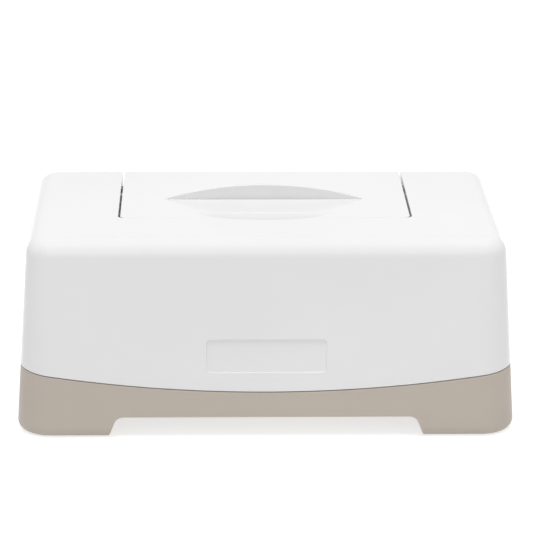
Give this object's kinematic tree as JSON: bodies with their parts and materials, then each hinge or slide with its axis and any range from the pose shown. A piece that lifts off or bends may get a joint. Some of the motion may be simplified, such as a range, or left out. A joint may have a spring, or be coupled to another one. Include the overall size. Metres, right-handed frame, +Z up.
{
  "type": "baby wipes box",
  "caption": "Footed plastic box for baby wipes: taupe tray, lift-off white cover, and a flush hinged lid with a domed finger grip over a sealed wipes opening.",
  "frame": {"origin": "on the table under the middle of the box", "axes": "+X to the right as seen from the front, +Y from the front to the hinge side, +Z up"},
  "size_m": [0.2468, 0.1464, 0.1077],
  "materials": {
    "taupe_plastic": "satin taupe",
    "white_plastic": "gloss white",
    "inner_plastic": "matte off-white",
    "soft_seal": "matte translucent grey",
    "pad_rubber": "matte taupe-grey",
    "steel": "bright drawn"
  },
  "bodies": {
    "base": {"base_tray": "taupe_plastic", "foot_pad_front_left": "pad_rubber", "foot_pad_front_right": "pad_rubber", "foot_pad_rear_left": "pad_rubber", "foot_pad_rear_right": "pad_rubber", "tray_seal": "soft_seal"},
    "cover": {"cover_shell": "white_plastic", "dispensing_insert": "inner_plastic", "hinge_pin_left": "steel", "hinge_pin_right": "steel"},
    "lid": {"lid_shell": "white_plastic", "lid_liner": "inner_plastic", "lid_seal": "soft_seal"}
  },
  "joints": [
    {"name": "cover_lift", "type": "slide", "parent": "base", "child": "cover", "axis": [0, 0, 1], "range_m": [0, 0.12]},
    {"name": "lid_hinge", "type": "hinge", "parent": "cover", "child": "lid", "pos_m": [0, 0.0625, 0.0892], "axis": [-1, 0, 0], "range_deg": [0, 110]}
  ]
}
